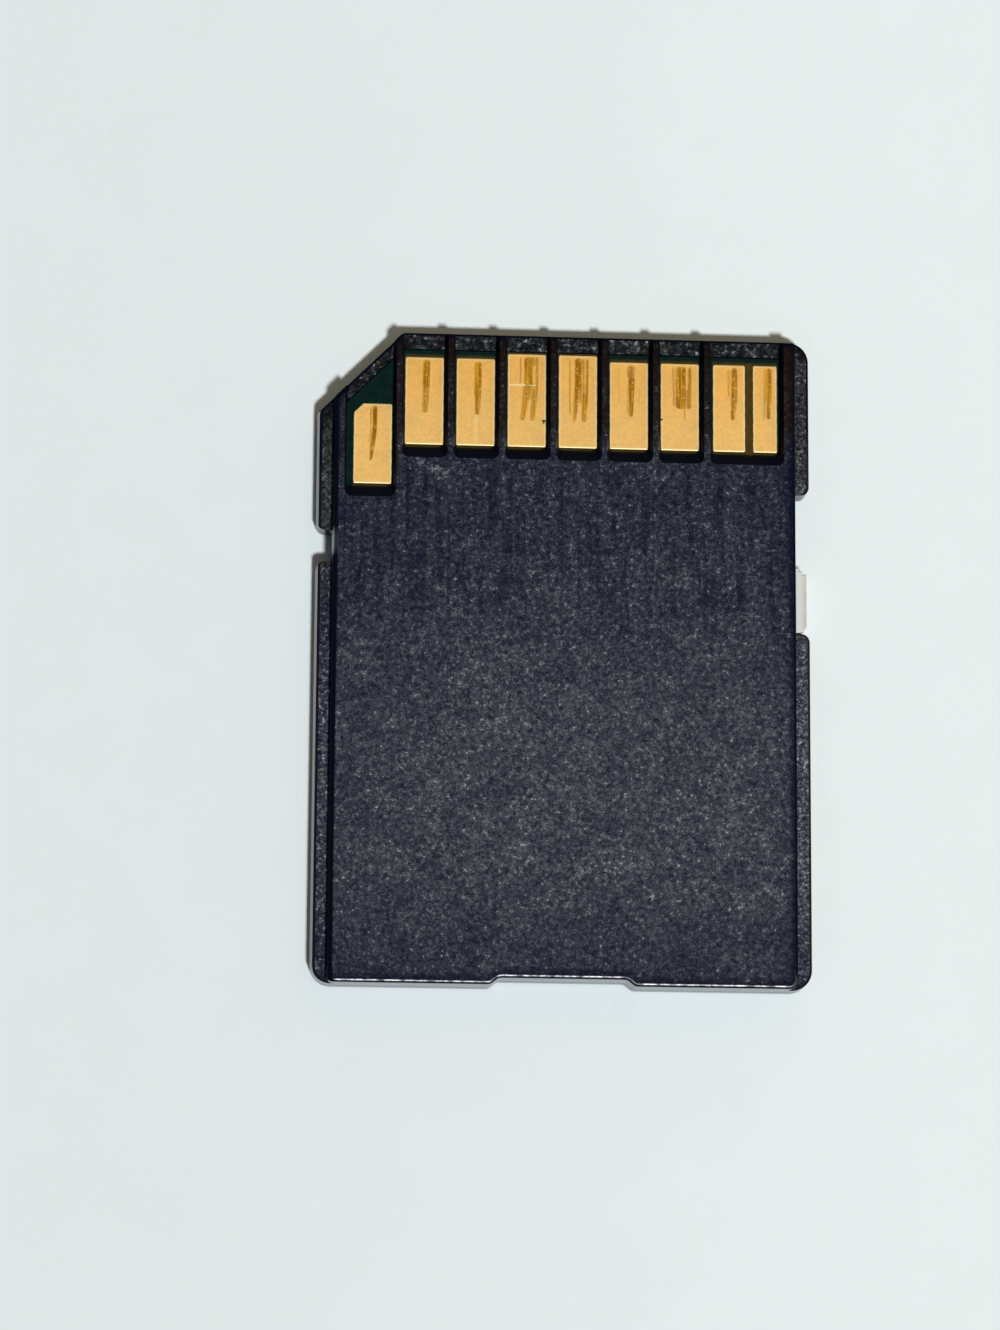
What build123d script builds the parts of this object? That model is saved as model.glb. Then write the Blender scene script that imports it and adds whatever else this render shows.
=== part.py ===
from build123d import *
from math import radians, tan
import os

# Full-size flash memory card, lying on its label side with the contacts up, in millimetres.
# The origin is the middle of the footprint on the table, +Y points to the contact end, +Z up.

# Contact comb, from the keyed edge (-X) to the slider edge (+X)
CONTACT_PITCH = 2.5
FULL_CONTACTS = 6
RIB_WIDTH = 0.46
KEY_WINDOW_WIDTH = 2.29
END_WINDOW_WIDTH = 3.45
WINDOW_GAP = 0.31
WINDOW_CORNER = 0.35
MOUTH_DEPTH = 0.4
MOUTH_FLARE = 0.1
MOUTH_SLOPE = 0.5

# Gold contacts
PAD_MARGIN = 0.07
PAD_FRONT_GAP = 0.41
PAD_LENGTH = 4.38
LONG_PADS = {3, 4}
LONG_PAD_FRONT_GAP = 0.13
KEY_PAD_SIDE_GAP = 0.34
KEY_PAD_DROP = 2.39
KEY_PAD_LENGTH = 4.0
KEY_PAD_CUT_GAP = 0.63
END_PAD_MARGIN = 0.14
END_PAD_WIDTH = 1.6
END_PAD_SPACE = 0.37
PAD_THICKNESS = 0.03
PAD_CORNER = 0.09

# Card outline
CARD_LENGTH = 32.0
CORNER_RADIUS = 1.0
KEY_CHAMFER = 4.0
KEY_CORNER_RADIUS = 0.5
RAIL_WIDTH = 0.75
KEY_SIDE_DRAFT = 11.0
DRAFT_MARGIN = 0.02
RAIL_EDGE_WIDTH = 0.12
RAIL_EDGE_DROP = 0.06
PARTING_HEIGHT = 0.7
PARTING_LAND = 0.1
PARTING_BEVEL = 0.03
LABEL_EDGE_BEVEL = 0.18

# Raised middle of the contact side
RELIEF_HEIGHT = 0.7
SIDE_STRIP = 0.65
RELIEF_SETBACK = 0.12
RELIEF_DRAFT = 3.0
RELIEF_CORNER = 0.45
RELIEF_ROUND = 0.33
RELIEF_EDGE_ROUND = 0.16
RELIEF_LAP = 0.1

# Cut-outs in the outline, placed from the contact end
LOCK_NOTCH_START = 9.95
LOCK_NOTCH_LENGTH = 1.55
LOCK_NOTCH_ROUND = 0.45
SLIDER_WINDOW_START = 7.7
SLIDER_WINDOW_LENGTH = 6.88
SLIDER_WINDOW_ROUND = 0.42
CUTOUT_INNER_ROUND = 0.12
FINGER_RECESS_WIDTH = 6.9
FINGER_RECESS_DEPTH = 0.32
FINGER_RECESS_FLANK = 0.4
FINGER_RECESS_ROUND = 0.4

# Shell walls
SHELL_WALL = 0.3
FRONT_WALL = 0.8
BACK_WALL = 0.9
KEY_WALL = 0.65
COVER_WALL = 0.4
WINDOW_WALL = 0.6
CAVITY_CORNER = 0.3
SEAT_WIDTH = 0.5
LABEL_RECESS = 0.1
LABEL_MARGIN = 1.3

# Stack from the table up to the rails
FLOOR = 0.35
COMPONENT_SPACE = 0.61
BOARD_THICKNESS = 0.4
BOARD_SINK = 0.04
BOARD_CLEARANCE = 0.05

# Slider that marks the card as locked
TAB_INSET = 0.13
TAB_LENGTH = 3.2
TAB_SINK = 0.1
TAB_ROUND = 0.4
TAB_EDGE_BEVEL = 0.05
TAB_STEPS = 2
TAB_STEP_LENGTH = 0.15
TAB_STEP_WIDTH = 0.19
NECK_LENGTH = 1.6
NECK_HEIGHT = 0.4
FLANGE_LENGTH = 2.6
FLANGE_WIDTH = 0.55
SLIDE_CLEARANCE = 0.06
SLIDE_END_GAP = 0.08
SLIDE_ROOM = 0.15

# Parts under the board
FLASH_LENGTH = 15.4
FLASH_EDGE_GAP = 1.6
FLASH_STANDOFF = 0.04
FLASH_BEVEL = 0.06
FLASH_LEADS = 24
LEAD_PITCH = 0.5
LEAD_WIDTH = 0.22
LEAD_THICKNESS = 0.12
LEAD_SHOULDER = 0.22
LEAD_SLOPE = 0.15
LEAD_FOOT = 0.43
PIN_MARK_RADIUS = 0.5
PIN_MARK_INSET = 1.4
PIN_MARK_DEPTH = 0.05
CONTROLLER_SIZE = 6.0
CONTROLLER_EDGE_GAP = 1.5
CONTROLLER_BEVEL = 0.06
COMPONENT_CLEARANCE = 0.06
CHIP_PART_LENGTH = 1.0
CHIP_PART_WIDTH = 0.5
CHIP_PART_BEVEL = 0.05
CHIP_PART_PITCH = 1.5
CHIP_PART_GAP = 1.1
RESISTOR_HEIGHT = 0.35
CAPACITORS = 4
RESISTORS = 4

# Sizes worked out from those above
COMB_WIDTH = KEY_WINDOW_WIDTH + FULL_CONTACTS * CONTACT_PITCH + RIB_WIDTH + END_WINDOW_WIDTH
CARD_WIDTH = COMB_WIDTH + 2 * (SIDE_STRIP + RAIL_WIDTH)
HALF_COMB = COMB_WIDTH / 2
HALF_WIDTH = CARD_WIDTH / 2
HALF_LENGTH = CARD_LENGTH / 2
SIDE_WALL = RAIL_WIDTH + SHELL_WALL
RAIL_STEP_X = HALF_WIDTH - RAIL_WIDTH
BOARD_BOTTOM = FLOOR + COMPONENT_SPACE
BOARD_TOP = BOARD_BOTTOM + BOARD_THICKNESS
RAIL_HEIGHT = BOARD_TOP + BOARD_SINK
CARD_THICKNESS = RAIL_HEIGHT + RELIEF_HEIGHT
LAND_HEIGHT = PARTING_HEIGHT + PARTING_LAND
COMPONENT_FLOOR = FLOOR + COMPONENT_CLEARANCE
PAD_TOP = HALF_LENGTH - FRONT_WALL - PAD_FRONT_GAP
LOCK_NOTCH_TOP = HALF_LENGTH - LOCK_NOTCH_START
SLIDER_WINDOW_TOP = HALF_LENGTH - SLIDER_WINDOW_START
TAB_BOTTOM = SLIDER_WINDOW_TOP - SLIDER_WINDOW_LENGTH + SLIDE_END_GAP
TAB_CENTRE = TAB_BOTTOM + TAB_LENGTH / 2
SLIDE_TRAVEL = SLIDER_WINDOW_LENGTH - TAB_LENGTH - 2 * SLIDE_END_GAP
FLANGE_OUTER_X = HALF_WIDTH - SIDE_WALL - SLIDE_CLEARANCE
FLANGE_INNER_X = FLANGE_OUTER_X - FLANGE_WIDTH
FLASH_WIDTH = FLASH_LEADS * LEAD_PITCH
FLASH_Y = BACK_WALL - HALF_LENGTH + FLASH_EDGE_GAP + FLASH_WIDTH / 2

# Distance within which a corner counts as the one that is meant
TOUCH = 0.001


def block(x0, x1, y0, y1, z0, z1):
    """Box between two corners."""
    return Pos(x0, y0, z0) * Box(x1 - x0, y1 - y0, z1 - z0, align=Align.MIN)


def plate(x0, x1, y0, y1):
    """Flat rectangle between two corners."""
    return Pos(x0, y0) * Rectangle(x1 - x0, y1 - y0, align=Align.MIN)


def rounded(face, radius, points):
    """Rounds the corners of a flat face that lie at the given points."""
    corners = [v for v in face.vertices() if min(abs(v.X - x) + abs(v.Y - y) for x, y in points) < TOUCH]
    return fillet(corners, radius)


def outline(side=0.0, front=0.0, back=0.0, key=0.0, radius=CORNER_RADIUS, key_radius=KEY_CORNER_RADIUS):
    """Card footprint with its edges moved inwards, three round corners and one cut corner."""
    x = HALF_WIDTH - side
    top = HALF_LENGTH - front
    bottom = back - HALF_LENGTH
    key_line = HALF_WIDTH + HALF_LENGTH - KEY_CHAMFER - key * 2**0.5
    square = [(-x, bottom), (x, bottom), (x, top)]
    cut = [(top - key_line, top), (-x, key_line - x)]
    face = rounded(Polygon(*square, *cut, align=None), radius, square)
    return rounded(face, key_radius, cut)


def with_finger_recess(face):
    """Cuts the shallow recess with slanted flanks from the edge that a fingernail pulls on."""
    mouth = FINGER_RECESS_WIDTH / 2
    root = mouth - FINGER_RECESS_FLANK
    floor = FINGER_RECESS_DEPTH - HALF_LENGTH
    corners = [(-mouth, -HALF_LENGTH), (mouth, -HALF_LENGTH), (root, floor), (-root, floor)]
    return rounded(face - Polygon(*corners, align=None), FINGER_RECESS_ROUND, corners)


def with_cutout(face, side, top, length, outer_round):
    """Cuts a notch as deep as the rail from one long edge and rounds its corners."""
    outer = [(side * HALF_WIDTH, top), (side * HALF_WIDTH, top - length)]
    inner = [(side * RAIL_STEP_X, top - length), (side * RAIL_STEP_X, top)]
    face -= Polygon(*outer, *inner, align=None)
    face = rounded(face, outer_round, outer)
    return rounded(face, CUTOUT_INNER_ROUND, inner)


def card_plan():
    """Footprint with the finger recess, the lock notch and the slider window."""
    plan = with_finger_recess(outline())
    plan = with_cutout(plan, -1, LOCK_NOTCH_TOP, LOCK_NOTCH_LENGTH, LOCK_NOTCH_ROUND)
    return with_cutout(plan, 1, SLIDER_WINDOW_TOP, SLIDER_WINDOW_LENGTH, SLIDER_WINDOW_ROUND)


def relief_plan():
    """Base of the raised middle, set back from the contact end and flush with the finger end."""
    return with_finger_recess(outline(RAIL_WIDTH, RELIEF_SETBACK, 0.0, RELIEF_SETBACK, RELIEF_CORNER))


def cavity_plan(clearance=0.0):
    """Inside of the shell walls, drawn in further by a clearance."""
    walls = [wall + clearance for wall in (SIDE_WALL, FRONT_WALL, BACK_WALL, KEY_WALL)]
    return outline(*walls, CAVITY_CORNER, CAVITY_CORNER)


def windows():
    """Left, right and lower edge of each contact window, from the keyed side."""
    lower = PAD_TOP - PAD_LENGTH - WINDOW_GAP
    key_lower = PAD_TOP - KEY_PAD_DROP - KEY_PAD_LENGTH - WINDOW_GAP
    spans = [(KEY_WINDOW_WIDTH, key_lower)]
    spans += [(CONTACT_PITCH - RIB_WIDTH, lower)] * FULL_CONTACTS
    spans += [(END_WINDOW_WIDTH, lower)]
    left = -HALF_COMB
    edges = []
    for width, low in spans:
        edges.append((left, left + width, low))
        left += width + RIB_WIDTH
    return edges


def window_plan(left, right, lower):
    """One contact window, open past the contact end, with round lower corners."""
    face = plate(left, right, lower, HALF_LENGTH + FRONT_WALL)
    return rounded(face, WINDOW_CORNER, [(left, lower), (right, lower)])


def window_mouth(left, right, lower):
    """Upper part of a contact window, flared a little at its sides and sloped at its lower end."""
    flared = window_plan(left - MOUTH_FLARE, right + MOUTH_FLARE, lower - MOUTH_SLOPE)
    root = Pos(Z=CARD_THICKNESS - MOUTH_DEPTH) * window_plan(left, right, lower)
    return loft([root, Pos(Z=CARD_THICKNESS) * flared], ruled=True)


def slide_span(length, room):
    """Lower and upper end of the path of a slider piece of the given length."""
    return TAB_CENTRE - length / 2 - room, TAB_CENTRE + length / 2 + SLIDE_TRAVEL + room


def slider_slot():
    """Slot for the slider's neck through the wall behind the slider window."""
    low, high = slide_span(NECK_LENGTH, SLIDE_CLEARANCE)
    half = NECK_HEIGHT / 2 + SLIDE_CLEARANCE
    outer = RAIL_STEP_X + SLIDE_CLEARANCE
    return block(FLANGE_OUTER_X, outer, low, high, PARTING_HEIGHT - half, PARTING_HEIGHT + half)


def slider_room():
    """Space above the shell's floor that the slider's flange travels in."""
    low, high = slide_span(FLANGE_LENGTH, SLIDE_ROOM)
    return block(FLANGE_INNER_X - SLIDE_ROOM, HALF_WIDTH - SIDE_WALL, low, high, FLOOR, BOARD_TOP)


def comb():
    """Slab with the contact windows and their mouths cut from its front edge."""
    front = HALF_LENGTH + RELIEF_SETBACK
    slab = block(-HALF_WIDTH, HALF_WIDTH, -CARD_LENGTH, front, RAIL_HEIGHT, CARD_THICKNESS)
    for edges in windows():
        slab -= Pos(Z=RAIL_HEIGHT) * extrude(window_plan(*edges), RELIEF_HEIGHT)
        slab -= window_mouth(*edges)
    return slab


def upper_cavity():
    """Hollow over the board under the raised middle, clear of the contact windows."""
    edges = windows()
    plan = outline(RAIL_WIDTH + SIDE_STRIP, 0.0, BACK_WALL, 0.0, CAVITY_CORNER)
    plan -= plate(-HALF_WIDTH, HALF_WIDTH, edges[1][2] - WINDOW_WALL, HALF_LENGTH)
    plan -= plate(-HALF_WIDTH, edges[0][1] + WINDOW_WALL, edges[0][2] - WINDOW_WALL, HALF_LENGTH)
    return Pos(Z=BOARD_TOP) * extrude(plan, CARD_THICKNESS - COVER_WALL - BOARD_TOP)


def rail_layer(plan, draft=0.0):
    """Layer from the land at the parting line to the rails, with drafted walls and a bevelled upper edge."""
    layer = Pos(Z=LAND_HEIGHT) * extrude(plan, RAIL_HEIGHT - LAND_HEIGHT, taper=draft)
    top = layer.faces().sort_by(Axis.Z)[-1]
    return chamfer(top.edges(), RAIL_EDGE_WIDTH, RAIL_EDGE_DROP, reference=top)


def keyed_side_plan(past, side, front, back, key, radius=CORNER_RADIUS):
    """Card footprint as outline() draws it, with only its slider side moved out by a distance."""
    return Pos(X=past / 2) * outline(side - past / 2, front, back, key - past / 8**0.5, radius)


def relief():
    """Raised middle with a wide round on its keyed side and front and a narrow one on its other edges."""
    past = RELIEF_ROUND + RELIEF_EDGE_ROUND
    plan = keyed_side_plan(past, RAIL_WIDTH, RELIEF_SETBACK, -past, RELIEF_SETBACK, RELIEF_CORNER)
    wide = extrude(plan, RELIEF_HEIGHT, taper=RELIEF_DRAFT)
    wide = fillet(wide.edges().group_by(Axis.Z)[-1], RELIEF_ROUND)
    lap = RELIEF_LAP
    plan = Pos(X=-lap / 2) * outline(RAIL_WIDTH - lap / 2, -lap, 0.0, -lap, RELIEF_CORNER)
    narrow = extrude(with_finger_recess(plan), RELIEF_HEIGHT)
    return wide & fillet(narrow.edges().group_by(Axis.Z)[-1], RELIEF_EDGE_ROUND)


def back_cover():
    """Contact-side shell: rails, raised middle, comb of ribs over the board and hollow underside."""
    land = Pos(Z=PARTING_HEIGHT) * extrude(card_plan(), PARTING_LAND)
    land = chamfer(land.edges().group_by(Axis.Z)[0], PARTING_BEVEL)
    past = (RAIL_HEIGHT - LAND_HEIGHT) * tan(radians(KEY_SIDE_DRAFT)) + DRAFT_MARGIN
    drafted = rail_layer(keyed_side_plan(past, 0.0, -past, -past, 0.0), KEY_SIDE_DRAFT)
    rim = land + (drafted & rail_layer(card_plan()))
    behind_lip = plate(-HALF_WIDTH, HALF_WIDTH, -HALF_LENGTH, HALF_LENGTH - FRONT_WALL)
    core_plan = relief_plan() & behind_lip & outline(key=KEY_WALL)
    core_bottom = PARTING_HEIGHT + PARTING_BEVEL
    core = Pos(Z=core_bottom) * extrude(core_plan, RAIL_HEIGHT - core_bottom)
    cover = rim + core + (Pos(Z=RAIL_HEIGHT) * relief() & comb())
    for edges in windows():
        cover -= extrude(window_plan(*edges) & cavity_plan(), CARD_THICKNESS)
    cover -= Pos(Z=PARTING_HEIGHT) * extrude(cavity_plan(), BOARD_TOP - PARTING_HEIGHT)
    return cover - upper_cavity() - slider_slot()


def front_cover():
    """Label-side shell: rim up to the parting line, seat for the board and a bare label recess below."""
    cover = extrude(card_plan(), PARTING_HEIGHT)
    cover = chamfer(cover.edges().group_by(Axis.Z)[0], LABEL_EDGE_BEVEL)
    cover = chamfer(cover.edges().group_by(Axis.Z)[-1], PARTING_BEVEL)
    cover -= Pos(Z=FLOOR) * extrude(cavity_plan(), CARD_THICKNESS)
    seat = cavity_plan(BOARD_CLEARANCE) - cavity_plan(BOARD_CLEARANCE + SEAT_WIDTH)
    cover += Pos(Z=FLOOR) * extrude(seat, COMPONENT_SPACE)
    label = outline(*[LABEL_MARGIN] * 4, KEY_CORNER_RADIUS)
    return cover - slider_room() - slider_slot() - extrude(label, LABEL_RECESS)


def circuit_board():
    """Board that fills the shell, with a cut-out beside the slider."""
    board = Pos(Z=BOARD_BOTTOM) * extrude(cavity_plan(BOARD_CLEARANCE), BOARD_THICKNESS)
    return board - slider_room()


def contact_pads():
    """Gold contacts on the board, numbered as the card's contacts are."""
    edges = windows()
    spans = []
    for number in range(1, FULL_CONTACTS + 1):
        left, right, lower = edges[number]
        top = HALF_LENGTH - FRONT_WALL - LONG_PAD_FRONT_GAP if number in LONG_PADS else PAD_TOP
        spans.append((left + PAD_MARGIN, right - PAD_MARGIN, lower + WINDOW_GAP, top))
    left, right, lower = edges[-1]
    split = left + END_PAD_MARGIN + END_PAD_WIDTH
    spans.append((left + END_PAD_MARGIN, split, lower + WINDOW_GAP, PAD_TOP))
    spans.append((split + END_PAD_SPACE, right - END_PAD_MARGIN, lower + WINDOW_GAP, PAD_TOP))
    left, right, lower = edges[0]
    spans.append((left + KEY_PAD_SIDE_GAP, right - PAD_MARGIN, lower + WINDOW_GAP, PAD_TOP - KEY_PAD_DROP))
    clear_of_key = outline(key=KEY_WALL + KEY_PAD_CUT_GAP)
    pads = {}
    for number, span in enumerate(spans, 1):
        face = plate(*span) & clear_of_key
        face = fillet(face.vertices(), PAD_CORNER)
        pads[f"contact_pad_{number}"] = Pos(Z=BOARD_TOP) * extrude(face, PAD_THICKNESS)
    return pads


def slider_block(x0, x1, length, z0, z1):
    """Box of the given length at the middle of the slider's tab."""
    return block(x0, x1, TAB_CENTRE - length / 2, TAB_CENTRE + length / 2, z0, z1)


def write_protect_slider():
    """Slider: stepped tab in the rail window, neck through the wall and flange inside."""
    inner = RAIL_STEP_X + SLIDE_CLEARANCE
    outer = HALF_WIDTH - TAB_INSET
    top = TAB_BOTTOM + TAB_LENGTH
    tab = rounded(plate(inner, outer, TAB_BOTTOM, top), TAB_ROUND, [(outer, TAB_BOTTOM)])
    for step in range(1, TAB_STEPS + 1):
        drop = (TAB_STEPS + 1 - step) * TAB_STEP_LENGTH
        tab -= plate(outer - step * TAB_STEP_WIDTH, outer, top - drop, top)
    tab = Pos(Z=TAB_SINK) * extrude(tab, RAIL_HEIGHT - 2 * TAB_SINK)
    levels = tab.edges().group_by(Axis.Z)
    tab = chamfer(levels[0] + levels[-1], TAB_EDGE_BEVEL)
    half = NECK_HEIGHT / 2
    neck = slider_block(FLANGE_OUTER_X, inner, NECK_LENGTH, PARTING_HEIGHT - half, PARTING_HEIGHT + half)
    flange = slider_block(FLANGE_INNER_X, FLANGE_OUTER_X, FLANGE_LENGTH,
                          FLOOR + SLIDE_CLEARANCE, BOARD_TOP - SLIDE_CLEARANCE)
    return tab + neck + flange


def flash_memory_chip():
    """Memory package with bevelled lower edges and a mark beside its first lead."""
    x, y = FLASH_LENGTH / 2, FLASH_WIDTH / 2
    body = block(-x, x, FLASH_Y - y, FLASH_Y + y, COMPONENT_FLOOR, BOARD_BOTTOM - FLASH_STANDOFF)
    body = chamfer(body.edges().group_by(Axis.Z)[0], FLASH_BEVEL)
    mark = Cylinder(PIN_MARK_RADIUS, PIN_MARK_DEPTH, align=(Align.CENTER, Align.CENTER, Align.MIN))
    return body - Pos(x - PIN_MARK_INSET, FLASH_Y + y - PIN_MARK_INSET, COMPONENT_FLOOR) * mark


def flash_memory_leads():
    """Two rows of gull-wing leads from the package's ends up to the board."""
    middle = (COMPONENT_FLOOR + BOARD_BOTTOM - FLASH_STANDOFF) / 2
    low, high = middle - LEAD_THICKNESS / 2, middle + LEAD_THICKNESS / 2
    bend = LEAD_SHOULDER + LEAD_SLOPE
    tip = bend + LEAD_FOOT
    foot = BOARD_BOTTOM - LEAD_THICKNESS
    heel = LEAD_SHOULDER - LEAD_THICKNESS / 2
    under = [(0, low), (LEAD_SHOULDER, low), (bend, foot), (tip, foot)]
    over = [(tip, BOARD_BOTTOM), (heel + LEAD_SLOPE, BOARD_BOTTOM), (heel, high), (0, high)]
    profile = Plane.XZ * Polygon(*under, *over, align=None)
    lead = Pos(FLASH_LENGTH / 2, FLASH_Y + LEAD_WIDTH / 2) * extrude(profile, LEAD_WIDTH)
    offsets = [(index - (FLASH_LEADS - 1) / 2) * LEAD_PITCH for index in range(FLASH_LEADS)]
    rows = [Pos(Y=offset) * side for side in (lead, mirror(lead, Plane.YZ)) for offset in offsets]
    return Compound(children=rows)


def controller_chip():
    """Controller package flat against the board under the contacts."""
    top = HALF_LENGTH - FRONT_WALL - CONTROLLER_EDGE_GAP
    half = CONTROLLER_SIZE / 2
    body = block(-half, half, top - CONTROLLER_SIZE, top, COMPONENT_FLOOR, BOARD_BOTTOM)
    return chamfer(body.edges().group_by(Axis.Z)[0], CONTROLLER_BEVEL)


def chip_row(name, count, direction, height):
    """Row of small two-ended parts on the underside of the board, beyond the memory package."""
    y = FLASH_Y + FLASH_WIDTH / 2 + CHIP_PART_GAP
    parts = {}
    for index in range(count):
        x = direction * (index + 0.5) * CHIP_PART_PITCH
        part = Pos(x, y, BOARD_BOTTOM - height / 2) * Box(CHIP_PART_WIDTH, CHIP_PART_LENGTH, height)
        parts[f"{name}_{index + 1}"] = chamfer(part.edges().group_by(Axis.Z)[0], CHIP_PART_BEVEL)
    return parts


nodes = {
    "front_cover": front_cover(),
    "back_cover": back_cover(),
    "write_protect_slider": write_protect_slider(),
    "circuit_board": circuit_board(),
    "flash_memory_chip": flash_memory_chip(),
    "flash_memory_leads": flash_memory_leads(),
    "controller_chip": controller_chip(),
    **contact_pads(),
    **chip_row("capacitor", CAPACITORS, -1, COMPONENT_SPACE - COMPONENT_CLEARANCE),
    **chip_row("resistor", RESISTORS, 1, RESISTOR_HEIGHT),
}

os.makedirs("parts", exist_ok=True)
for name, solid in nodes.items():
    export_step(solid, f"parts/{name}.step")
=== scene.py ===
import math
from collections import namedtuple

import bpy
import numpy as np
from bpy.props import FloatProperty, FloatVectorProperty, PointerProperty
from mathutils import Matrix, Quaternion, Vector


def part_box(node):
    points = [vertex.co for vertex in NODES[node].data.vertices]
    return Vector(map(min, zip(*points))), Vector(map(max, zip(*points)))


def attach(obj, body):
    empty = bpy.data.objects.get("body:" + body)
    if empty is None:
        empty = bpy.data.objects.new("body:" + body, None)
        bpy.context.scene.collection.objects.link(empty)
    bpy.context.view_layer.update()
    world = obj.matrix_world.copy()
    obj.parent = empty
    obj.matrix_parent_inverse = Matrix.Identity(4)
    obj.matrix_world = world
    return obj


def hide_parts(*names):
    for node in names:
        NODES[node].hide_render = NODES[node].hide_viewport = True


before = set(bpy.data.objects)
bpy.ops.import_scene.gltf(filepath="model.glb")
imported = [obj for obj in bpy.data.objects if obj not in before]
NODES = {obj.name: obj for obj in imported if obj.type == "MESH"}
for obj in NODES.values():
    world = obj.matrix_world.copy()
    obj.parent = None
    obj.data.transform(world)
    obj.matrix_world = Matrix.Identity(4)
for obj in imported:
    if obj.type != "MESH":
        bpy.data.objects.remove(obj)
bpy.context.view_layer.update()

bl_info = {
    "name": "Memory Card Looks",
    "version": (1, 0, 0),
    "blender": (4, 5, 0),
    "location": "View3D > Sidebar > Memory Card",
    "description": "Gives a full-size flash memory card its plastics, worn gold contacts and stage",
    "category": "Object",
}

MM = 0.001
CARD_BODY = "card"
CONTACT_COUNT = 9
KEYED_CONTACT = 9
END_CONTACTS = (7, 8)


def contact_name(number):
    """Name of the solid of one contact."""
    return f"contact_pad_{number}"


def box_mm(node):
    """Lowest and highest corner of a solid, in millimetres."""
    low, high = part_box(node)
    return np.array(low) / MM, np.array(high) / MM


# Sizes of the card that the finishes are placed by, in millimetres
CARD_LOW, CARD_HIGH = box_mm("back_cover")
BOARD_TOP = box_mm("circuit_board")[1][2]
CONTACT_BOXES = {number: box_mm(contact_name(number)) for number in range(1, CONTACT_COUNT + 1)}
CONTACTS_LEFT, CONTACTS_BOTTOM = CONTACT_BOXES[1][0][:2]
CONTACTS_TOP = CONTACT_BOXES[1][1][1]
KEYED_LOW, KEYED_HIGH = CONTACT_BOXES[KEYED_CONTACT]
RAIL_WIDTH = 0.75
RAISED_RIGHT = CARD_HIGH[0] - RAIL_WIDTH
CUT_CORNER = 4.0
CUT_CORNER_LINE = CARD_HIGH[1] - CARD_LOW[0] - CUT_CORNER
LOCK_NOTCH_START = 9.95
LOCK_NOTCH_LENGTH = 1.55
LOCK_NOTCH_TOP = CARD_HIGH[1] - LOCK_NOTCH_START
LOCK_NOTCH_BOTTOM = LOCK_NOTCH_TOP - LOCK_NOTCH_LENGTH
FINGER_RECESS_HALF = 3.45
FINGER_RECESS_DEPTH = 0.32

# Range that a noise mostly keeps to
NOISE_RANGE = (0.3, 0.7)


def colour(name, description, default):
    """Colour property in linear light."""
    return FloatVectorProperty(name=name, description=description, subtype="COLOR", size=3,
                               min=0.0, max=1.0, default=default)


def share(name, description, default, most=1.0):
    """Plain number property from nought up."""
    return FloatProperty(name=name, description=description, min=0.0, max=most, default=default)


def length(name, description, default):
    """Length property in metres."""
    return FloatProperty(name=name, description=description, min=0.0, default=default,
                         unit="LENGTH", precision=6)


def angle(name, description, default_degrees):
    """Angle property, given in degrees and kept in radians."""
    return FloatProperty(name=name, description=description, default=math.radians(default_degrees),
                         subtype="ANGLE", unit="ROTATION")


class CardPlasticSettings(bpy.types.PropertyGroup):
    """Moulded shell plastic with its spark-eroded grain."""

    smooth: colour("Smooth walls", "Plastic on the walls, bevels and rounds", (0.003, 0.004, 0.011))
    valley: colour("Grain valleys", "Plastic low in the grain", (0.0003, 0.001, 0.0135))
    crest: colour("Grain crests", "Tone of the highest crests", (0.84, 0.935, 0.99))
    hollow: colour("Rail valleys", "Plastic low in the grain near the front edge", (0.002, 0.002, 0.0035))
    worn: colour("Worn valleys", "Plastic low in the grain of the ribs", (0.006, 0.002, 0.0015))
    grain: length("Grain size", "Width of one grain", 0.2 * MM)
    grain_depth: length("Grain depth", "Height of the grain", 0.03 * MM)
    contrast: share("Contrast", "How far the tone rises over the grain", 7.2, 40.0)
    # The tone where the painted sheen of the lamp is brightest, on the lower middle; the grain is darkened
    # from there
    sheen_peak: FloatProperty(name="Polish", description="Logarithm of the tone where the card is handled",
                          default=-3.05)
    wall_roughness: share("Wall roughness", "Roughness of the smooth walls", 0.16)
    grain_roughness: share("Grain roughness", "Roughness of the grained faces", 0.45)


class CardContactSettings(bpy.types.PropertyGroup):
    """Gold contacts, worn by the sockets they were pushed into."""

    gold: colour("Gold", "Plating near the finger end", (1.0, 0.652, 0.226))
    deep_gold: colour("Deep gold", "Plating near the card's front edge", (1.0, 0.598, 0.17))
    rubbed: colour("Rubbed gold", "Streaks where the plating is rubbed thin", (0.355, 0.142, 0.0005))
    thinned: colour("Thinned gold", "Paler lines in the streaks", (0.68, 0.35, 0.014))
    # Also the colour of the painted highlight along the contacts' rims
    scratch: colour("Scratch", "Bare bright scratch", (1.0, 0.86, 0.50))
    nick: colour("Nick", "Dirt in a nick of the edge", (0.02, 0.012, 0.006))
    rim: length("Rim", "Width of the rounded edge", 0.035 * MM)
    corner: length("Corner", "Radius of a contact's corners in plan", 0.09 * MM)
    raggedness: length("Raggedness", "Waviness of the etched edge", 0.004 * MM)
    roughness: share("Roughness", "Roughness of clean plating", 0.56)


class CardBoardSettings(bpy.types.PropertyGroup):
    """Circuit board in the contact windows and the parts below it."""

    mask: colour("Solder mask", "Lacquer on the board", (0.0008, 0.0095, 0.0085))
    # Painted olive glow of the gold contacts on the board
    painted_gold_glow_colour: colour("Laminate", "Olive laminate around the contacts", (0.066, 0.040, 0.006))
    package: colour("Package", "Moulded chip packages", (0.011, 0.011, 0.012))
    tin: colour("Tin", "Leads and end caps", (0.62, 0.62, 0.60))
    capacitor: colour("Capacitor", "Capacitor ceramic", (0.30, 0.17, 0.08))
    resistor: colour("Resistor", "Resistor glaze", (0.016, 0.016, 0.018))


class CardSliderSettings(bpy.types.PropertyGroup):
    """Pale slider in the rail."""

    plastic: colour("Slider plastic", "Uncoloured plastic", (0.66, 0.68, 0.655))
    # The grey that the slider takes in clouds towards the card's outer edge
    shade: colour("Handled plastic", "Plastic greyed by handling", (0.42, 0.43, 0.425))


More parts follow.
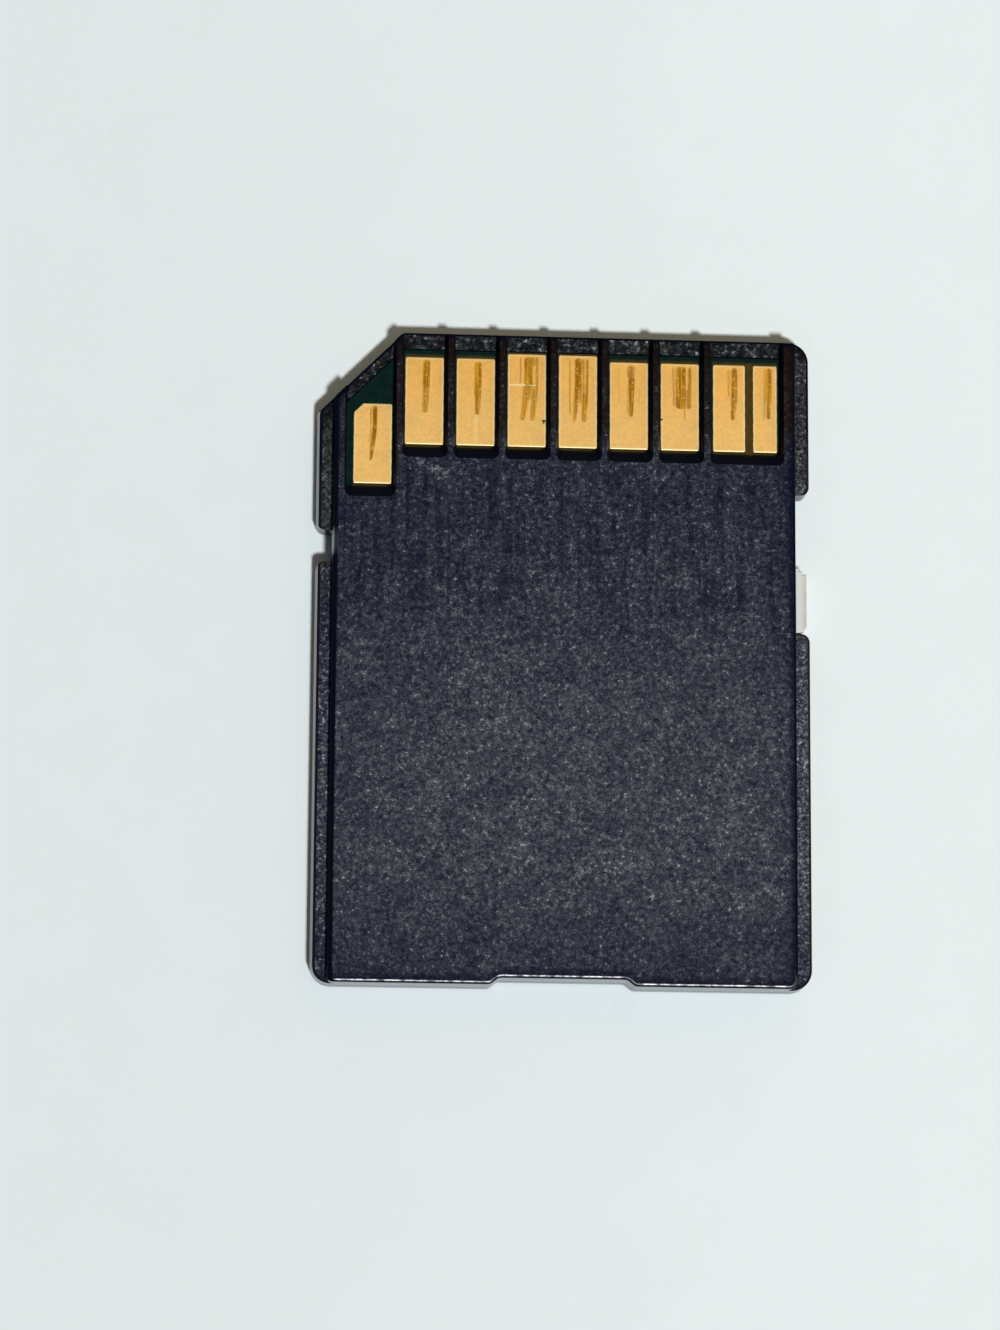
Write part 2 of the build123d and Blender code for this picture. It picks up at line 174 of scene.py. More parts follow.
class CardStageSettings(bpy.types.PropertyGroup):
    """Paper, light and camera."""

    paper: colour("Paper", "Floor", (0.729, 0.792, 0.804))
    horizon: colour("Horizon", "Surroundings at table height", (0.225, 0.233, 0.245))
    overhead: colour("Overhead", "Surroundings above the table", (0.108, 0.114, 0.122))
    glow: colour("Glow", "Warm surroundings beyond the card's front edge", (0.56, 0.44, 0.23))
    key: colour("Key light", "Colour of the lamp", (0.980, 0.993, 1.0))
    key_strength: share("Key strength", "Light that reaches a face turned to the lamp", 3.17, 20.0)
    key_softness: angle("Key softness", "Width of the lamp as the card sees it", 6.5)
    lens: FloatProperty(name="Lens", description="Focal length in millimetres", default=125.26)
    roll: angle("Roll", "Turn of the picture", 0.38)


# Where the lamp and the camera stand and what the camera is aimed at, in metres from the card's middle
KEY_PLACE = (0.19, -0.54, 1.0)
CAMERA_PLACE = (-0.01926, -0.04448, 0.21928)
CAMERA_AIM = (-0.00295, -0.00016, 0.0)

# How far the paper lies below the card and reaches in metres, and from where to where in millimetres and
# between which factors painted light makes its tone rise
FLOOR_DROP = 0.01 * MM
FLOOR_REACH = 3.0
PAPER_SIDES = (-26.0, 24.0)
PAPER_SHADES = (0.958, 1.028)

# Height where the pale horizon ends, and the direction of the glow and how near to it the glow begins
HORIZON_HEIGHT = 0.15
GLOW_FROM = (0.45, 0.84, 0.3)
GLOW_EDGE = 0.35


class Nodes:
    """Short calls for the nodes of one tree."""

    def __init__(self, tree):
        self.tree = tree

    def add(self, kind, **settings):
        """New node with its settings."""
        made = self.tree.nodes.new(kind)
        for key, value in settings.items():
            setattr(made, key, value)
        return made

    def feed(self, socket, value):
        """Links an output to a socket, or sets the socket's own value."""
        if isinstance(value, bpy.types.NodeSocket):
            self.tree.links.new(value, socket)
        elif hasattr(value, "__len__") and len(value) == 3 and socket.type == "RGBA":
            socket.default_value = (*value, 1.0)
        else:
            socket.default_value = value

    def place(self, stretch=(1.0, 1.0, 1.0)):
        """Object coordinates in millimetres, stretched along the axes."""
        coordinates = self.add("ShaderNodeTexCoord")
        mapping = self.add("ShaderNodeMapping")
        mapping.inputs["Scale"].default_value = [factor / MM for factor in stretch]
        self.feed(mapping.inputs["Vector"], coordinates.outputs["Object"])
        return mapping.outputs[0]

    def part(self, vector, axis):
        """One axis of a vector."""
        split = self.add("ShaderNodeSeparateXYZ")
        self.feed(split.inputs[0], vector)
        return split.outputs[axis]

    def facing_up(self):
        """How flat the surface lies, from 0 on a wall to 1 on a level face."""
        normal = self.part(self.add("ShaderNodeNewGeometry").outputs["Normal"], "Z")
        return self.sums("ABSOLUTE", normal)

    def noise(self, vector, scale, detail=2.0, roughness=0.5, distortion=0.0):
        """Cloudy noise of so many features to the millimetre."""
        made = self.add("ShaderNodeTexNoise")
        sockets = {"Vector": vector, "Scale": scale, "Detail": detail,
                   "Roughness": roughness, "Distortion": distortion}
        for name, value in sockets.items():
            self.feed(made.inputs[name], value)
        return made.outputs[0]

    def cells(self, vector, scale):
        """Distance from the middle of each of so many cells to the millimetre, and a number per cell."""
        made = self.add("ShaderNodeTexVoronoi")
        self.feed(made.inputs["Vector"], vector)
        self.feed(made.inputs["Scale"], scale)
        return made.outputs["Distance"], self.part(made.outputs["Color"], "X")

    def attribute(self, name):
        """Number that the mesh holds at each point."""
        return self.add("ShaderNodeAttribute", attribute_name=name).outputs["Fac"]

    def remap(self, value, low, high, low_result=0.0, high_result=1.0):
        """Smooth step from one result to another as a value goes from low to high."""
        made = self.add("ShaderNodeMapRange", interpolation_type="SMOOTHSTEP")
        for index, number in enumerate((value, low, high, low_result, high_result)):
            self.feed(made.inputs[index], number)
        return made.outputs[0]

    def spread(self, noise, low_result=0.0, high_result=1.0):
        """Smooth step from one result to another over the range of a noise."""
        return self.remap(noise, *NOISE_RANGE, low_result, high_result)

    def sums(self, operation, *values):
        """Arithmetic on numbers that vary over the surface."""
        made = self.add("ShaderNodeMath", operation=operation)
        for socket, value in zip(made.inputs, values):
            self.feed(socket, value)
        return made.outputs[0]

    def times(self, *values):
        """Product of several numbers."""
        result = values[0]
        for value in values[1:]:
            result = self.sums("MULTIPLY", result, value)
        return result

    def rest(self, value):
        """What a value leaves of one."""
        return self.sums("SUBTRACT", 1.0, value)

    def within(self, value, low, high, soft):
        """One between two limits, fading to nought over a soft edge at each."""
        return self.times(self.remap(value, low - soft, low + soft),
                          self.remap(value, high - soft, high + soft, 1.0, 0.0))

    def stroke(self, x, y, start, end, width):
        """One along a straight band between two points, fading to nought at its sides and ends."""
        run = np.subtract(end, start)
        size = float(np.hypot(*run))
        run = run / size
        aside = np.array([-run[1], run[0]])
        along, off = (self.sums("ADD", self.times(x, float(way[0])), self.times(y, float(way[1])))
                      for way in (run, aside))
        first, middle = float(np.dot(start, run)), float(np.dot(start, aside))
        return self.times(self.within(along, first, first + size, width),
                          self.within(off, middle - width / 2, middle + width / 2, width / 2))

    def blend(self, factor, first, second):
        """Colour that goes from the first to the second."""
        made = self.add("ShaderNodeMix", data_type="RGBA")
        self.feed(made.inputs[0], factor)
        self.feed(made.inputs[6], first)
        self.feed(made.inputs[7], second)
        return made.outputs[2]

    def mingle(self, factor, first, second):
        """Number that goes from the first to the second."""
        made = self.add("ShaderNodeMix", data_type="FLOAT")
        self.feed(made.inputs[0], factor)
        self.feed(made.inputs[2], first)
        self.feed(made.inputs[3], second)
        return made.outputs[0]

    def bump(self, height, depth):
        """Normal of a surface raised by a height times a depth in metres."""
        made = self.add("ShaderNodeBump")
        for name, value in (("Height", height), ("Distance", depth), ("Strength", 1.0)):
            self.feed(made.inputs[name], value)
        return made.outputs[0]


class Finish(Nodes):
    """Nodes of one new material."""

    def __init__(self, name):
        self.material = bpy.data.materials.new(name)
        self.material.use_nodes = True
        super().__init__(self.material.node_tree)

    def surface(self, **sockets):
        """Sets the shader's sockets, named in lower case with underscores for spaces."""
        shader = self.tree.nodes["Principled BSDF"]
        named = {socket.name.lower().replace(" ", "_"): socket for socket in shader.inputs}
        for name, value in sockets.items():
            self.feed(named[name], value)


def shaded(tone, factor):
    """Colour made paler or darker by a factor."""
    return [part * factor for part in tone]


def dress(finish, *names):
    """Gives solids of the card one finish."""
    for name in names:
        mesh = NODES[name].data
        mesh.materials.clear()
        mesh.materials.append(finish.material)


# Marks on the raised middle in millimetres: start, end, width and how much paler, as a logarithm
SCUFFS = [
    ((CONTACTS_LEFT + 0.41, CONTACTS_BOTTOM - 0.83),
     (CONTACTS_LEFT + 2.12, CONTACTS_BOTTOM - 1.76), 0.35, 1.2),
    ((5.0, -11.7), (5.9, -15.0), 0.7, -0.35),
]

# How far the highest grains stand out, and the largest share of the crest colour
CREST_LIFT = 18.0
PALEST = 0.4


def comb_zone(finish, x, y, z):
    """Rises to one along the ribs and strips beside the contact windows, above the board."""
    past_all = finish.remap(y, CONTACTS_BOTTOM - 0.4, CONTACTS_BOTTOM + 1.2)
    past_key = finish.times(finish.remap(y, KEYED_LOW[1] - 0.4, KEYED_LOW[1] + 1.2),
                            finish.remap(x, KEYED_HIGH[0] + 0.25, KEYED_HIGH[0] + 0.35, 1.0, 0.0))
    above = finish.remap(z, BOARD_TOP - 0.1, BOARD_TOP)
    return finish.times(finish.sums("MAXIMUM", past_all, past_key), above)


class ShellZones:
    """Parts of the shells that differ in finish: x, y, z and up say where a point is and how level it lies.

    Each other value rises from nought to one inside its part.
    """

    def __init__(self, finish, at):
        x, y, z = (finish.part(at, axis) for axis in "XYZ")
        self.x, self.y, self.z = x, y, z
        self.up = finish.facing_up()
        # Rises towards the contacts, where the painted sheen of the lamp has faded
        self.sheen_falloff = finish.remap(y, CONTACTS_BOTTOM - 16.0, CONTACTS_BOTTOM)
        self.finger_end = finish.remap(y, CARD_LOW[1] + 0.5, CARD_LOW[1] + 0.8, 1.0, 0.0)
        self.low_face = finish.remap(z, BOARD_TOP + 0.1, BOARD_TOP + 0.2, 1.0, 0.0)
        self.raised = finish.rest(self.low_face)
        to_corner = finish.sums("SUBTRACT", y, x)
        self.corner = finish.remap(to_corner, CUT_CORNER_LINE - 1.3, CUT_CORNER_LINE - 1.2)
        front = finish.remap(y, CONTACTS_TOP + 0.3, CONTACTS_TOP + 0.4)
        self.lip = finish.times(self.low_face, finish.sums("MAXIMUM", front, self.corner))
        self.comb = comb_zone(finish, x, y, z)
        past_left = finish.remap(x, KEYED_LOW[0] - 0.4, KEYED_LOW[0], 0.4, 1.0)
        self.ribs = finish.times(self.comb, self.raised, past_left)


def place_shifts(finish, zones):
    """Logarithms of how much paler or darker the grain is from place to place, most of them painted sheen
    and shade.
    """
    x, y, low_face, raised = zones.x, zones.y, zones.low_face, zones.raised
    recess = finish.within(x, -FINGER_RECESS_HALF, FINGER_RECESS_HALF, 0.2)
    to_finger_end = finish.sums("SUBTRACT", finish.sums("SUBTRACT", y, CARD_LOW[1]),
                                finish.times(recess, FINGER_RECESS_DEPTH))
    right_rail = finish.times(low_face, finish.remap(x, RAISED_RIGHT - 0.1, RAISED_RIGHT))
    return [
        # Painted sheen: darker towards the contacts, away from the lamp's broad highlight
        finish.times(zones.sheen_falloff, finish.mingle(low_face, -0.66, -0.42)),
        # Painted sheen: darker towards the finger end and towards the left side
        finish.remap(y, CARD_LOW[1], CARD_LOW[1] + 6.0, -0.5, 0.0),
        finish.remap(x, CARD_LOW[0] + 1.0, CARD_LOW[0] + 9.0, -0.2, 0.0),
        # Painted sheen: the rails paler towards the lamp on the right
        finish.times(low_face, finish.remap(x, CARD_LOW[0], CARD_HIGH[0], 0.05, 0.2)),
        finish.times(zones.lip, -0.9),
        finish.times(low_face, zones.corner, -0.35),
        # Painted sheen: the right rail darker beside the contacts
        finish.times(right_rail, finish.remap(y, CONTACTS_BOTTOM - 0.5, CONTACTS_BOTTOM + 0.5, 0.0, -0.4)),
        finish.times(zones.ribs, finish.remap(y, CONTACTS_TOP - 1.5, CONTACTS_TOP + 0.3, -1.0, -2.2)),
        # Painted light: the sheen falls off towards the right, and painted shade darkens the rounded right
        # edge of the raised middle
        finish.times(raised, finish.remap(x, RAISED_RIGHT - 1.6, RAISED_RIGHT - 0.2, 0.0, -0.3)),
        finish.times(raised, finish.remap(x, RAISED_RIGHT - 0.45, RAISED_RIGHT - 0.12, 0.0, -1.4)),
        # Painted shade just inside the finger end's rounded edge
        finish.remap(to_finger_end, 0.15, 0.6, -1.2, 0.0),
    ]


def mark_shifts(finish, at, zones, pitch, coarse, fine):
    """Logarithms of how much paler or darker clouds, flecks, rubbed streaks and scuffs are."""
    clouds = finish.noise(at, pitch / 9.0, 2.0, 0.5)
    middle, number = finish.cells(at, pitch * 0.8)
    spots = finish.times(finish.remap(middle, 0.10, 0.40, 1.0, 0.0), finish.remap(fine, 0.40, 0.58))
    rub_lines = finish.noise(finish.place((2.7, 0.16, 1.0)), 1.0, 2.0, 0.5)
    below_contacts = finish.within(zones.y, CONTACTS_BOTTOM - 9.0, CONTACTS_BOTTOM - 0.6, 1.5)
    broken = finish.remap(coarse, 0.35, 0.6)
    return [
        finish.spread(clouds, -0.17, 0.17),
        finish.times(spots, finish.remap(number, 0.68, 1.0), 1.2),
        finish.times(finish.remap(rub_lines, 0.48, 0.62), below_contacts, -0.55),
        *(finish.times(finish.stroke(zones.x, zones.y, start, end, width), broken, paler)
          for start, end, width, paler in SCUFFS),
    ]


def grain_tone(finish, at, zones, settings):
    """Tone e^(a (s + 18 s^3) + b) of a grain that stands s from its middle height, and the grain itself.

    The tone is the share of the crest colour. The contrast a rises from the raised middle over the rails to
    the front lip. The shift b adds up the peak of the painted sheen and all that makes the grain paler or
    darker, much of it painted sheen and shade.
    """
    pitch = MM / settings.grain
    coarse = finish.noise(at, pitch, 2.0, 0.5, 0.4)
    fine = finish.noise(at, pitch * 2.3, 2.0, 0.6, 0.8)
    pebbles = finish.noise(at, pitch / 1.7, 2.0, 0.5, 0.4)
    grain = finish.mingle(finish.times(zones.lip, 0.4), finish.mingle(0.5, coarse, fine), pebbles)
    # The grain's contrast rises a little where the painted sheen has faded
    contrast = finish.remap(zones.sheen_falloff, 0.0, 1.0, settings.contrast, settings.contrast * 1.15)
    for zone, factor in ((zones.low_face, 1.5), (zones.ribs, 1.3), (zones.lip, 2.7)):
        contrast = finish.mingle(zone, contrast, settings.contrast * factor)
    swing = finish.sums("SUBTRACT", grain, 0.5)
    swing = finish.sums("ADD", swing, finish.times(swing, swing, swing, CREST_LIFT))
    tone = finish.sums("ADD", finish.times(swing, contrast), settings.sheen_peak)
    for shift in place_shifts(finish, zones) + mark_shifts(finish, at, zones, pitch, coarse, fine):
        tone = finish.sums("ADD", tone, shift)
    return finish.sums("MINIMUM", finish.sums("EXPONENT", tone), PALEST), grain


def wall_gloss(finish, at, zones, settings):
    """Specular level, roughness and waves of walls and rounds.

    They shine most in the lock notch and at the finger end, and are matt in the contact windows.
    """
    ripple = finish.noise(at, 3.0, 3.0, 0.6)
    outer = finish.remap(zones.z, BOARD_TOP + 0.03, BOARD_TOP + 0.06, 1.0, 0.0)
    inner = finish.rest(outer)
    steep = finish.remap(zones.up, 0.2, 0.45, 1.0, 0.0)
    notch = finish.times(finish.within(zones.y, LOCK_NOTCH_BOTTOM + 0.4, LOCK_NOTCH_TOP - 0.2, 0.3),
                         finish.remap(zones.x, 0.0, 0.1, 1.0, 0.0))
    worn_edge = finish.times(zones.finger_end, finish.remap(zones.up, 0.68, 0.86), inner,
                             finish.remap(zones.x, CARD_LOW[0] + 1.05, CARD_LOW[0] + 1.3))
    gloss = finish.mingle(outer, finish.mingle(notch, 0.01, 2.6), 0.5)
    gloss = finish.mingle(zones.comb, gloss, 0.004)
    gloss = finish.mingle(finish.times(zones.finger_end, steep), gloss, 1.9)
    gloss = finish.mingle(worn_edge, gloss, finish.remap(ripple, 0.35, 0.65, 0.35, 2.3))
    roughness = finish.mingle(worn_edge, settings.wall_roughness, 0.4)
    roughness = finish.mingle(zones.comb, roughness, 0.6)
    return gloss, roughness, finish.times(ripple, 0.3, inner)


def shell_plastic(settings):
    """Plastic that is grained on level faces and smooth on walls, bevels and rounds."""
    finish = Finish("shell_plastic")
    at = finish.place()
    zones = ShellZones(finish, at)
    tone, grain = grain_tone(finish, at, zones, settings)
    gloss, wall_roughness, waves = wall_gloss(finish, at, zones, settings)
    flat = finish.remap(zones.up, finish.mingle(zones.finger_end, 0.955, 0.985),
                        finish.mingle(zones.finger_end, 0.997, 0.9995))
    valley = finish.blend(zones.ribs, settings.valley, settings.worn)
    front_rails = finish.times(zones.low_face, finish.remap(zones.y, 0.0, 7.0))
    valley = finish.blend(front_rails, valley, settings.hollow)
    body = finish.blend(tone, valley, settings.crest)
    finish.surface(base_color=finish.blend(flat, settings.smooth, body),
                   roughness=finish.mingle(flat, wall_roughness, settings.grain_roughness),
                   specular_ior_level=finish.mingle(flat, gloss, 0.05),
                   normal=finish.bump(finish.mingle(flat, waves, grain), settings.grain_depth))
    return finish


def contact_gold(settings):
    """Plated gold: warmer towards the front edge, mottled, with rubbed streaks, bright scratches and a
    painted highlight along the rims.
    """
    finish = Finish("contact_gold")
    at = finish.place()
    y = finish.part(at, "Y")
    mottle = finish.noise(at, 1.6, 3.0, 0.6)
    fine = finish.noise(at, 14.0, 2.0, 0.6)
    lines = finish.noise(finish.place((13.0, 0.45, 1.0)), 1.0, 3.0, 0.6)
    bubbles = finish.noise(at, 7.0, 2.0, 0.5)
    front = finish.remap(y, CONTACTS_BOTTOM, CONTACTS_TOP)
    front = finish.sums("ADD", front, finish.spread(mottle, -0.3, 0.3))
    clean = finish.blend(finish.remap(front, 0.0, 1.0), settings.gold, settings.deep_gold)
    clean = finish.blend(finish.remap(bubbles, 0.35, 0.7, 0.0, 0.12), clean, settings.rubbed)
    wear = finish.times(finish.attribute("wear"), finish.remap(bubbles, 0.58, 0.66, 1.0, 0.45))
    thin = finish.blend(finish.remap(lines, 0.38, 0.56), settings.thinned, settings.rubbed)
    scratch = finish.sums("ADD", finish.attribute("scratch"), finish.spread(fine, -0.25, 0.25))
    # Scratches, pale rubbed lines and the painted highlight along each rim, all turned to the scratch
    # colour
    bright = finish.sums("MAXIMUM", finish.remap(scratch, 0.45, 0.70), finish.attribute("rim"))
    plated = finish.blend(wear, clean, thin)
    plated = finish.blend(bright, plated, settings.scratch)
    plated = finish.blend(finish.attribute("nick"), plated, settings.nick)
    roughness = finish.spread(mottle, settings.roughness - 0.03, settings.roughness + 0.04)
    relief = finish.sums("SUBTRACT", finish.times(fine, 0.25), finish.times(wear, lines))
    finish.surface(base_color=plated, metallic=1.0, roughness=roughness,
                   normal=finish.bump(relief, 0.004 * MM))
    return finish


def painted_gold_glow_zone(finish, x, y):
    """Rises to one where the gold's glow is painted on the board: between the end contacts, and below and
    above each contact.
    """
    first, second = (CONTACT_BOXES[number] for number in END_CONTACTS)
    painted_gold_glow = finish.times(finish.within(x, first[1][0], second[0][0], 0.05),
                        finish.within(y, CONTACTS_BOTTOM - 0.35, CONTACTS_TOP + 0.1, 0.08))
    for number, (low, high) in CONTACT_BOXES.items():
        ends = finish.times(finish.remap(y, low[1] - 0.3, low[1] - 0.2),
                            finish.remap(y, low[1], high[1], 0.6, 0.0))
        if number != KEYED_CONTACT:
            above = finish.times(finish.remap(y, low[1], high[1]),
                                 finish.remap(y, high[1], high[1] + 0.22, 0.9, 0.0))
            ends = finish.sums("MAXIMUM", ends, above)
        painted_gold_glow = finish.sums("MAXIMUM", painted_gold_glow, finish.times(finish.within(x, low[0], high[0], 0.05), ends))
    return painted_gold_glow


def board_lacquer(settings):
    """Green lacquer with a woven glass grain, and a painted olive glow of the gold beside the contacts."""
    finish = Finish("board_lacquer")
    at = finish.place()
    x, y = (finish.part(at, axis) for axis in "XY")
    weave = finish.noise(at, 2.2, 2.0, 0.6)
    # Painted olive glow of the gold on the lacquer, broken up by the weave
    painted_gold_glow = finish.times(painted_gold_glow_zone(finish, x, y), finish.remap(weave, 0.2, 0.7, 0.7, 1.0))
    mask = finish.blend(finish.spread(weave), settings.mask, shaded(settings.mask, 1.5))
    finish.surface(base_color=finish.blend(painted_gold_glow, mask, settings.painted_gold_glow_colour),
                   roughness=finish.spread(weave, 0.22, 0.30), specular_ior_level=0.15,
                   normal=finish.bump(weave, 0.006 * MM))
    return finish


def slider_plastic(settings):
    """Uncoloured plastic, greyer in clouds towards the card's outer edge."""
    finish = Finish("slider_plastic")
    at = finish.place()
    clouds = finish.noise(at, 1.3, 3.0, 0.6)
    fine = finish.noise(at, 9.0, 2.0, 0.5)
    outer = finish.remap(finish.part(at, "X"), CARD_HIGH[0] - 0.5, CARD_HIGH[0] - 0.1, 0.1, 0.9)
    # Greyer in clouds towards the card's outer edge
    handled = finish.times(outer, finish.spread(clouds, 0.5, 1.0))
    finish.surface(base_color=finish.blend(handled, settings.plastic, settings.shade),
                   roughness=finish.spread(clouds, 0.36, 0.5), subsurface_weight=0.08,
                   subsurface_radius=(0.4 * MM, 0.4 * MM, 0.3 * MM),
                   normal=finish.bump(fine, 0.005 * MM))
    return finish


def chip_package(settings):
    """Black moulding compound with a fine matt grain."""
    finish = Finish("chip_package")
    at = finish.place()
    grain = finish.noise(at, 11.0, 3.0, 0.6)
    tone = finish.blend(finish.remap(grain, 0.35, 0.7), settings.package, shaded(settings.package, 2.2))
    finish.surface(base_color=tone, roughness=finish.spread(grain, 0.55, 0.7),
                   normal=finish.bump(grain, 0.01 * MM))
    return finish


def lead_tin(settings):
    """Tin plating, dulled in clouds."""
    finish = Finish("lead_tin")
    clouds = finish.noise(finish.place(), 3.0, 3.0, 0.6)
    tone = finish.blend(finish.spread(clouds), settings.tin, shaded(settings.tin, 0.7))
    finish.surface(base_color=tone, metallic=1.0, roughness=finish.spread(clouds, 0.28, 0.45))
    return finish


def capped_ceramic(name, body, settings, node):
    """Ceramic body between tinned end caps, laid along the part's length."""
    finish = Finish(name)
    at = finish.place()
    low, high = box_mm(node)
    y = finish.part(at, "Y")
    cap = (high[1] - low[1]) * 0.22
    ends = finish.rest(finish.within(y, low[1] + cap, high[1] - cap, 0.02))
    clouds = finish.noise(at, 6.0, 2.0, 0.5)
    ceramic = finish.blend(finish.spread(clouds), body, shaded(body, 0.75))
    finish.surface(base_color=finish.blend(ends, ceramic, settings.tin), metallic=ends,
                   roughness=finish.spread(clouds, 0.3, 0.45))
    return finish


# One rubbed streak on a contact, in millimetres from the contact's left and front edges:
# where it starts and ends, its middle and width at each end, and how far the plating is rubbed.
Streak = namedtuple("Streak", "start end x0 x1 w0 w1 rubbed")

STREAKS = {
    1: [Streak(0.10, 1.60, 1.04, 1.03, 0.35, 0.34, 0.95), Streak(1.48, 2.80, 1.03, 0.98, 0.33, 0.25, 0.75)],
    2: [Streak(0.14, 1.50, 1.06, 1.06, 0.35, 0.33, 0.92), Streak(1.38, 2.10, 1.04, 1.07, 0.36, 0.28, 0.85),
        Streak(1.95, 2.84, 1.06, 1.03, 0.29, 0.21, 0.80)],
    3: [Streak(0.12, 1.62, 1.03, 1.03, 0.42, 0.40, 0.90), Streak(0.12, 1.70, 1.45, 1.43, 0.13, 0.13, 0.90),
        Streak(0.10, 0.62, 1.28, 1.24, 0.36, 0.22, 0.62), Streak(0.12, 1.46, 0.64, 0.64, 0.07, 0.05, 0.70),
        Streak(1.50, 3.34, 1.00, 0.73, 0.40, 0.20, 0.80), Streak(1.55, 3.34, 1.37, 1.22, 0.28, 0.23, 0.80),
        Streak(1.40, 2.30, 1.18, 1.14, 0.50, 0.30, 0.45)],
    4: [Streak(0.16, 3.00, 0.56, 0.56, 0.06, 0.05, 0.80), Streak(0.12, 1.80, 0.97, 0.95, 0.36, 0.30, 0.95),
        Streak(0.14, 2.40, 1.22, 1.20, 0.10, 0.09, 0.75), Streak(0.14, 2.40, 1.40, 1.38, 0.12, 0.12, 0.90),
        Streak(1.60, 3.36, 0.92, 0.77, 0.30, 0.15, 0.88), Streak(1.90, 3.36, 1.29, 1.25, 0.32, 0.20, 0.85),
        Streak(1.40, 2.40, 1.12, 1.10, 0.50, 0.36, 0.55)],
    5: [Streak(0.14, 0.85, 1.05, 1.05, 0.38, 0.34, 0.75), Streak(0.75, 2.74, 1.09, 1.04, 0.31, 0.21, 0.92),
        Streak(1.05, 2.55, 0.89, 0.88, 0.06, 0.05, 0.65), Streak(0.25, 2.10, 0.46, 0.45, 0.09, 0.09, 0.22),
        Streak(1.25, 2.10, 1.43, 1.45, 0.08, 0.08, 0.20)],
    6: [Streak(0.16, 2.15, 0.63, 0.66, 0.08, 0.08, 0.75), Streak(0.14, 2.28, 0.99, 0.98, 0.46, 0.46, 0.90),
        Streak(0.14, 2.25, 1.19, 1.18, 0.11, 0.09, 0.95), Streak(0.16, 2.28, 1.44, 1.42, 0.17, 0.16, 0.85),
        Streak(2.15, 2.90, 1.18, 1.18, 0.07, 0.05, 0.80), Streak(1.30, 2.25, 1.30, 1.28, 0.24, 0.20, 0.55)],
    7: [Streak(0.22, 1.60, 0.77, 0.79, 0.09, 0.08, 0.80), Streak(0.14, 1.95, 1.06, 1.06, 0.30, 0.31, 0.88),
        Streak(1.75, 2.35, 1.02, 1.05, 0.30, 0.22, 0.78), Streak(2.22, 2.78, 0.99, 0.99, 0.24, 0.22, 0.85)],
    8: [Streak(0.10, 1.86, 0.62, 0.62, 0.18, 0.14, 0.55), Streak(0.10, 1.86, 0.80, 0.79, 0.27, 0.25, 0.92),
        Streak(1.74, 2.70, 0.78, 0.77, 0.22, 0.19, 0.85), Streak(0.60, 2.70, 0.57, 0.57, 0.06, 0.06, 0.60)],
    9: [Streak(0.08, 1.20, 1.04, 1.03, 0.23, 0.21, 1.0), Streak(1.10, 1.95, 1.03, 0.96, 0.22, 0.21, 1.0),
        Streak(1.80, 2.86, 0.97, 0.84, 0.21, 0.13, 1.0), Streak(0.15, 1.10, 0.84, 0.83, 0.08, 0.07, 0.75),
        Streak(1.05, 2.60, 0.83, 0.82, 0.07, 0.06, 0.60)],
}

# Bright scratches across a contact, in the same measure
SCRATCHES = {
    3: [Streak(1.50, 1.62, 0.45, 0.45, 1.10, 1.10, 1.0), Streak(1.52, 1.60, 1.2, 1.2, 0.7, 0.7, 0.7)],
}

# Pale rubbed lines, in the same measure
PALE_LINES = {
    1: [Streak(0.30, 1.60, 1.27, 1.26, 0.05, 0.05, 0.3)],
    2: [Streak(2.80, 4.35, 0.98, 0.97, 0.12, 0.09, 0.4)],
}

# Dirty nicks in the edge of a contact, in the same measure
NICKS = {
    3: [Streak(3.28, 3.40, 1.80, 1.78, 0.24, 0.20, 1.0), Streak(3.38, 3.50, 1.78, 1.78, 0.12, 0.06, 1.0)],
    6: [Streak(2.78, 2.90, 0.05, 0.05, 0.16, 0.12, 0.9)],
}


# Length of a streak's rounded ends and softness of its sides, in millimetres
STREAK_EASE = 0.1
STREAK_SOFTNESS = 0.05

# Spacing of a contact's rows and columns in millimetres, points across its rim, and how many rims wide
# the painted highlight along its edge is
ROW_SPACING = 0.045
COLUMN_SPACING = 0.04
RIM_POINTS = 6
PAINTED_HIGHLIGHT_RIMS = 3.5


def streak_cover(streaks, across, down):
    """Cover of the streaks at points: bands with round ends and wavering edges.

    across and down are distances from the contact's left and front edges in millimetres. A band's half
    width falls as the root of the distance to its end, and its middle wavers by two sines of the distance
    down. Where bands cross, the strongest counts.
    """
    cover = np.zeros_like(across)
    for turn, streak in enumerate(streaks):
        way = (down - streak.start) / (streak.end - streak.start)
        waver = 0.004 * np.sin(9.0 * down + 2.1 * turn) + 0.003 * np.sin(23.0 * down + 1.3 * turn)
        middle = streak.x0 + (streak.x1 - streak.x0) * way + waver
        to_end = np.minimum(down - streak.start, streak.end - down)
        ease = min(STREAK_EASE, (streak.end - streak.start) / 2)
        half = (streak.w0 + (streak.w1 - streak.w0) * way) / 2 * np.sqrt(np.clip(to_end / ease, 0.0, 1.0))
        side = np.clip((half - np.abs(across - middle)) / STREAK_SOFTNESS + 0.5, 0.0, 1.0)
        cover = np.maximum(cover, streak.rubbed * side * (to_end > 0.0))
    return cover


def edge_steps(size, rim, spacing):
    """Places from 0 to size, close together inside both rims and evenly spaced between them."""
    near = rim * np.linspace(0.0, 1.0, RIM_POINTS)
    inner = np.linspace(rim, size - rim, max(2, round((size - 2 * rim) / spacing)))
    return np.concatenate([near[:-1], inner, size - near[-2::-1]])


